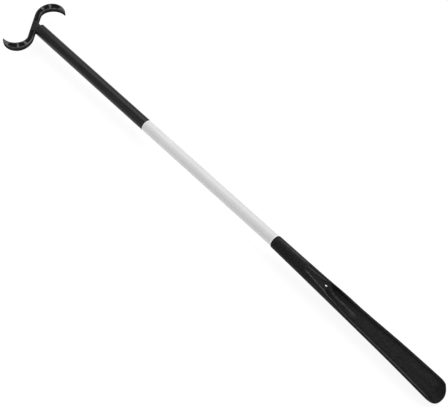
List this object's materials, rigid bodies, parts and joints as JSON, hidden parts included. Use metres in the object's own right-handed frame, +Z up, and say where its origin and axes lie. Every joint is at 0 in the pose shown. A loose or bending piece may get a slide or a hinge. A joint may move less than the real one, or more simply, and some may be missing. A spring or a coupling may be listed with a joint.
{
  "type": "long shoehorn with dressing hook",
  "caption": "Long straight stick with a trough-shaped shoehorn blade at one end and an S-shaped dressing hook at the other, made of push-fit sections that pull apart.",
  "frame": {"origin": "under the middle of the bounding box, on the surface that the stick lies on", "axes": "+X along the stick from the hook to the tip of the shoehorn, +Z up out of the open side of the blade, the hook lies in a plane parallel to XY"},
  "size_m": [0.773, 0.0974, 0.0297],
  "materials": {
    "black_moulding": "semi-gloss black moulded plastic with a fine grain",
    "black_paint": "satin black paint on thin-walled tube",
    "grey_paint": "satin light grey paint on thin-walled tube",
    "white_moulding": "smooth white moulded plastic",
    "rubber": "dull black rubber"
  },
  "bodies": {
    "middle_section": {"middle_tube": "grey_paint", "upper_joiner": "white_moulding", "lower_joiner": "white_moulding", "upper_grip_ring_1": "rubber", "upper_grip_ring_2": "rubber", "lower_grip_ring_1": "rubber", "lower_grip_ring_2": "rubber"},
    "hook_section": {"upper_tube": "black_paint", "hook_head": "black_moulding"},
    "shoehorn_section": {"shoehorn": "black_moulding"}
  },
  "joints": [
    {"name": "hook_section_pull", "type": "slide", "parent": "middle_section", "child": "hook_section", "axis": [-1, 0, 0], "range_m": [0, 0.045]},
    {"name": "shoehorn_pull", "type": "slide", "parent": "middle_section", "child": "shoehorn_section", "axis": [1, 0, 0], "range_m": [0, 0.045]}
  ]
}
